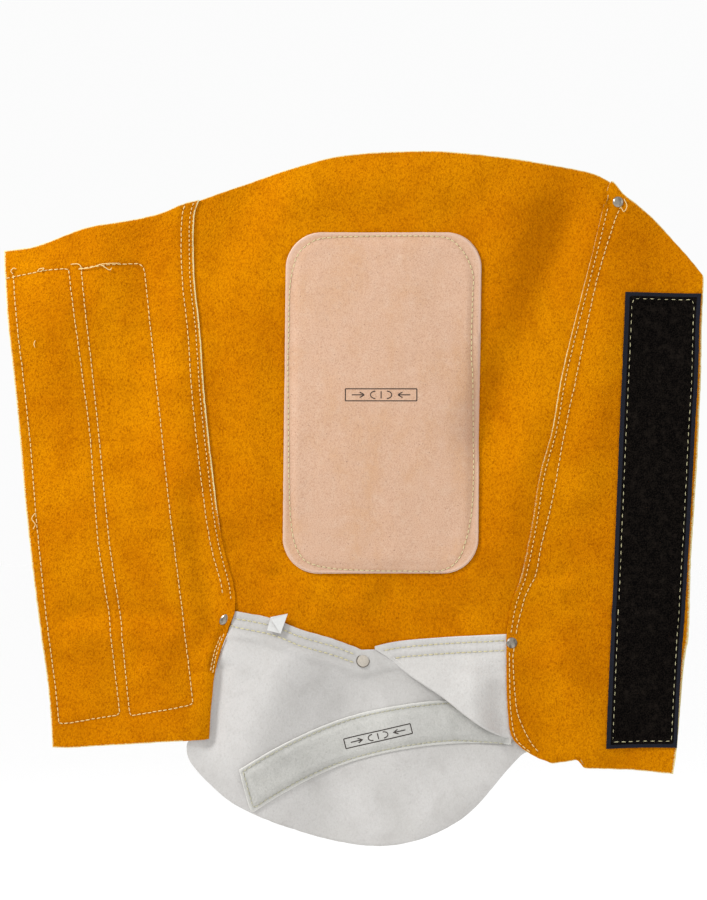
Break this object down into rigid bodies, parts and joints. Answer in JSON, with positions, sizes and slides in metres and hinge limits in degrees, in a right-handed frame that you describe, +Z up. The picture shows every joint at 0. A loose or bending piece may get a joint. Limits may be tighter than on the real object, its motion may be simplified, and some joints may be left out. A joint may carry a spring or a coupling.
{
  "type": "leather welding gaiter",
  "caption": "Leather leg and foot guard for welding, hung spread open: shin panel with plated pad, two wrap-round wings with hook-and-loop strips, and a foot flap.",
  "frame": {"origin": "middle of the shin pad's face, the face that lies against the leg", "axes": "+Z up the shin, -Y towards the leg (out of the pad's face), +Y away from the leg, +X towards the loop wing"},
  "size_m": [0.4905, 0.0182, 0.4875],
  "materials": {
    "gold_suede": "brushed split-leather nap, matt",
    "pale_hide": "undyed flesh side, fine speckle, matt",
    "grey_hide": "chrome-tanned grey split leather, matt",
    "grey_suede": "soft grey suede, matt",
    "aluminium_sheet": "plain mill finish",
    "nickel": "nickel-plated, softly polished",
    "loop_pile": "black looped pile with a woven edge",
    "hook_tape": "black woven tape with short hooks",
    "thread": "cream twisted thread",
    "label_tape": "white woven label tape, blank"
  },
  "bodies": {
    "shin": {"shin_panel": "gold_suede", "left_wing_hem": "gold_suede", "right_wing_hem": "gold_suede", "shin_pad": "pale_hide", "foot_flap": "grey_hide", "foot_flap_tuck": "grey_hide", "instep_patch": "grey_suede", "shin_plate": "aluminium_sheet", "instep_plate": "aluminium_sheet", "care_tag": "label_tape", "shin_pad_thread": "thread", "instep_patch_thread": "thread", "left_seam_thread_inner": "thread", "left_seam_thread_outer": "thread", "left_ankle_thread_inner": "thread", "left_ankle_thread_outer": "thread", "right_seam_thread_inner": "thread", "right_seam_thread_outer": "thread", "right_ankle_thread_inner": "thread", "right_ankle_thread_outer": "thread", "flap_seam_thread_left_upper": "thread", "flap_seam_thread_left_lower": "thread", "flap_seam_thread_right_upper": "thread", "flap_seam_thread_right_lower": "thread", "flap_middle_rivet_cap": "nickel", "flap_middle_rivet_post": "nickel", "left_ankle_rivet_cap": "nickel", "left_ankle_rivet_post": "nickel", "right_ankle_rivet_cap": "nickel", "right_ankle_rivet_post": "nickel", "right_top_rivet_cap": "nickel", "right_top_rivet_post": "nickel"},
    "left_wing": {"left_wing": "gold_suede", "hook_strip_outer": "hook_tape", "hook_strip_outer_thread": "thread", "hook_strip_inner": "hook_tape", "hook_strip_inner_thread": "thread"},
    "right_wing": {"right_wing": "gold_suede", "loop_strip": "loop_pile", "loop_strip_thread": "thread"},
    "toe_flap": {"toe_flap": "grey_hide"}
  },
  "joints": [
    {"name": "left_wing_fold", "type": "hinge", "parent": "shin", "child": "left_wing", "pos_m": [-0.125, 0.0026, -0.23], "axis": [-0.0567, 0, 0.9984], "range_deg": [-20, 110]},
    {"name": "right_wing_fold", "type": "hinge", "parent": "shin", "child": "right_wing", "pos_m": [0.113, 0.0026, -0.25], "axis": [-0.1513, 0, -0.9885], "range_deg": [-20, 110]},
    {"name": "toe_flap_fold", "type": "hinge", "parent": "shin", "child": "toe_flap", "pos_m": [-0.095, 0.0043, -0.29], "axis": [0.9856, 0, 0.169], "range_deg": [-30, 75]}
  ]
}
